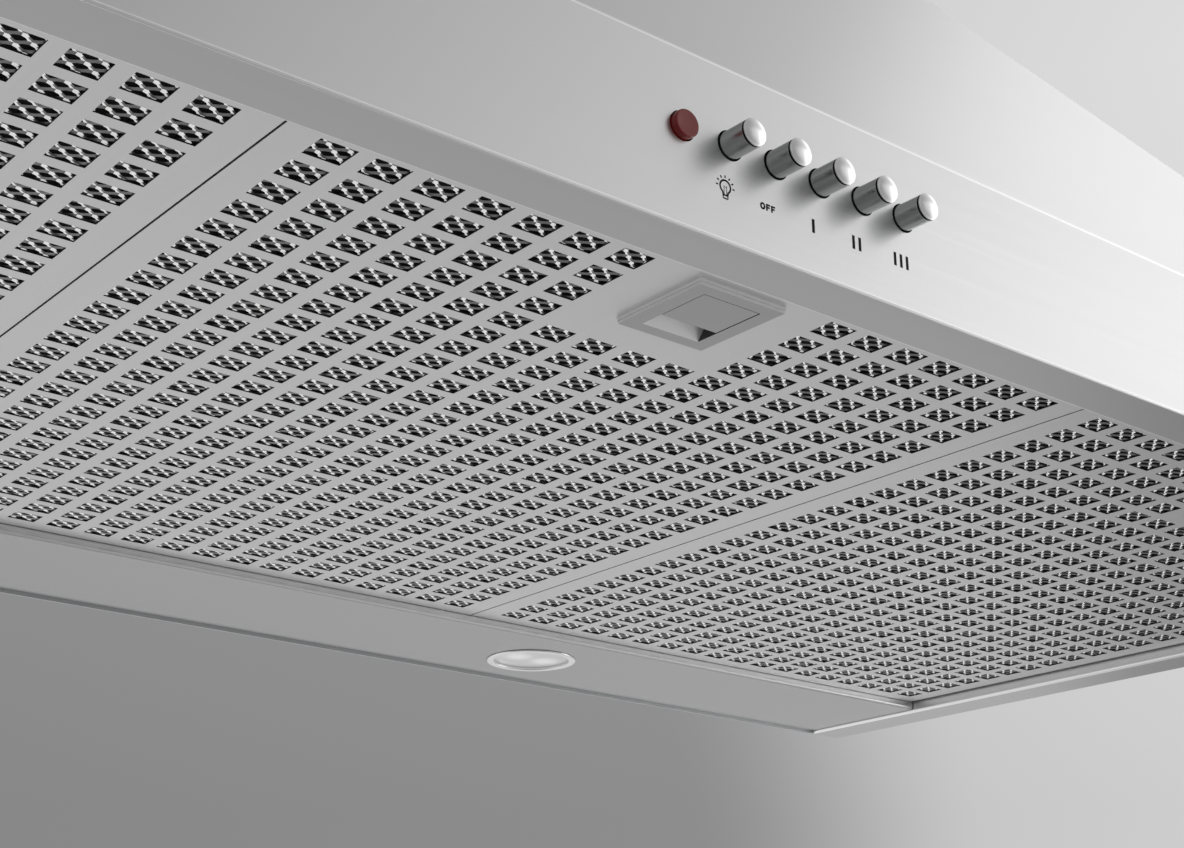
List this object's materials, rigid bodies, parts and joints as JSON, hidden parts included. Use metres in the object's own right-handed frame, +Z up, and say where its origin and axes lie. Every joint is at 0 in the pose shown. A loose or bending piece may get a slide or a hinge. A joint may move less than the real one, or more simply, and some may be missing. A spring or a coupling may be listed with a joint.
{
  "type": "range hood",
  "caption": "Wide stainless range hood: push-button front, sloped canopy, latched lift-down grease filters, rear lamps, blower and duct collar with flaps.",
  "frame": {"origin": "middle of the back panel's lower edge, on the wall plane and the plane of the lower rim", "axes": "+X to the right as seen from the room, +Y into the wall, +Z up"},
  "size_m": [1.1, 0.5333, 0.4192],
  "materials": {
    "brushed_steel": "fine brushed stainless",
    "filter_steel": "satin stainless",
    "filter_frame": "mill",
    "mesh_aluminium": "bright expanded metal",
    "latch_metal": "satin",
    "button_barrel": "turned satin",
    "button_cap": "polished",
    "red_lens": "translucent red",
    "black_plastic": "matte",
    "white_plastic": "satin",
    "collar_plastic": "moulded",
    "gland_rubber": "matte",
    "spring_steel": "drawn wire",
    "screw_zinc": "zinc plated",
    "galvanised": "galvanised",
    "motor_grey": "enamel",
    "lamp_trim": "satin",
    "frosted_glass": "frosted",
    "reflector": "bright",
    "bulb_glass": "clear"
  },
  "bodies": {
    "hood": {"fascia_panel": "brushed_steel", "left_skirt": "brushed_steel", "right_skirt": "brushed_steel", "canopy_front": "brushed_steel", "canopy_left": "brushed_steel", "canopy_right": "brushed_steel", "back_panel": "galvanised", "top_plate": "galvanised", "lamp_panel": "brushed_steel", "pilot_lens": "red_lens", "switch_housing": "black_plastic", "button_springs": "spring_steel", "left_lamp_ring": "lamp_trim", "right_lamp_ring": "lamp_trim", "left_lamp_glass": "frosted_glass", "right_lamp_glass": "frosted_glass", "lamp_cans": "reflector", "lamp_bulbs": "bulb_glass", "blower_wrap": "galvanised", "blower_left_side": "galvanised", "blower_right_side": "galvanised", "motor_shell": "motor_grey", "duct_collar": "collar_plastic", "damper_pin": "spring_steel", "terminal_box": "black_plastic", "terminal_lid": "black_plastic", "capacitor": "white_plastic", "mains_gland": "gland_rubber", "body_screws": "screw_zinc"},
    "left_filter": {"left_filter_face": "filter_steel", "left_filter_frame": "filter_frame", "left_filter_mesh": "mesh_aluminium", "left_latch_bezel": "latch_metal"},
    "left_latch": {"left_latch_slider": "latch_metal"},
    "centre_filter": {"centre_filter_face": "filter_steel", "centre_filter_frame": "filter_frame", "centre_filter_mesh": "mesh_aluminium", "centre_latch_bezel": "latch_metal"},
    "centre_latch": {"centre_latch_slider": "latch_metal"},
    "right_filter": {"right_filter_face": "filter_steel", "right_filter_frame": "filter_frame", "right_filter_mesh": "mesh_aluminium", "right_latch_bezel": "latch_metal"},
    "right_latch": {"right_latch_slider": "latch_metal"},
    "button_light": {"button_light_barrel": "button_barrel", "button_light_cap": "button_cap"},
    "button_off": {"button_off_barrel": "button_barrel", "button_off_cap": "button_cap"},
    "button_one": {"button_one_barrel": "button_barrel", "button_one_cap": "button_cap"},
    "button_two": {"button_two_barrel": "button_barrel", "button_two_cap": "button_cap"},
    "button_three": {"button_three_barrel": "button_barrel", "button_three_cap": "button_cap"},
    "impeller": {"impeller": "galvanised", "motor_shaft": "spring_steel"},
    "front_flap": {"front_flap": "collar_plastic"},
    "rear_flap": {"rear_flap": "collar_plastic"}
  },
  "joints": [
    {"name": "left_filter_tilt", "type": "hinge", "parent": "hood", "child": "left_filter", "pos_m": [-0.3477, -0.0923, 0.0064], "axis": [1, 0, 0], "range_deg": [0, 70]},
    {"name": "left_latch_slide", "type": "slide", "parent": "left_filter", "child": "left_latch", "axis": [0, 1, 0], "range_m": [0, 0.0045], "stiffness_N_per_m": 500, "springref_m": -0.003},
    {"name": "centre_filter_tilt", "type": "hinge", "parent": "hood", "child": "centre_filter", "pos_m": [0, -0.0923, 0.0064], "axis": [1, 0, 0], "range_deg": [0, 70]},
    {"name": "centre_latch_slide", "type": "slide", "parent": "centre_filter", "child": "centre_latch", "axis": [0, 1, 0], "range_m": [0, 0.0045], "stiffness_N_per_m": 500, "springref_m": -0.003},
    {"name": "right_filter_tilt", "type": "hinge", "parent": "hood", "child": "right_filter", "pos_m": [0.3477, -0.0923, 0.0064], "axis": [1, 0, 0], "range_deg": [0, 70]},
    {"name": "right_latch_slide", "type": "slide", "parent": "right_filter", "child": "right_latch", "axis": [0, 1, 0], "range_m": [0, 0.0045], "stiffness_N_per_m": 500, "springref_m": -0.003},
    {"name": "button_light_press", "type": "slide", "parent": "hood", "child": "button_light", "axis": [0, 1, 0], "range_m": [0, 0.0035], "stiffness_N_per_m": 600, "springref_m": -0.003},
    {"name": "button_off_press", "type": "slide", "parent": "hood", "child": "button_off", "axis": [0, 1, 0], "range_m": [0, 0.0035], "stiffness_N_per_m": 600, "springref_m": -0.003},
    {"name": "button_one_press", "type": "slide", "parent": "hood", "child": "button_one", "axis": [0, 1, 0], "range_m": [0, 0.0035], "stiffness_N_per_m": 600, "springref_m": -0.003},
    {"name": "button_two_press", "type": "slide", "parent": "hood", "child": "button_two", "axis": [0, 1, 0], "range_m": [0, 0.0035], "stiffness_N_per_m": 600, "springref_m": -0.003},
    {"name": "button_three_press", "type": "slide", "parent": "hood", "child": "button_three", "axis": [0, 1, 0], "range_m": [0, 0.0035], "stiffness_N_per_m": 600, "springref_m": -0.003},
    {"name": "impeller_spin", "type": "hinge", "parent": "hood", "child": "impeller", "pos_m": [0, -0.229, 0.168], "axis": [1, 0, 0], "continuous": true},
    {"name": "front_flap_swing", "type": "hinge", "parent": "hood", "child": "front_flap", "pos_m": [0, -0.155, 0.3792], "axis": [-1, 0, 0], "range_deg": [0, 80]},
    {"name": "rear_flap_swing", "type": "hinge", "parent": "hood", "child": "rear_flap", "pos_m": [0, -0.155, 0.3792], "axis": [1, 0, 0], "range_deg": [0, 80]}
  ]
}
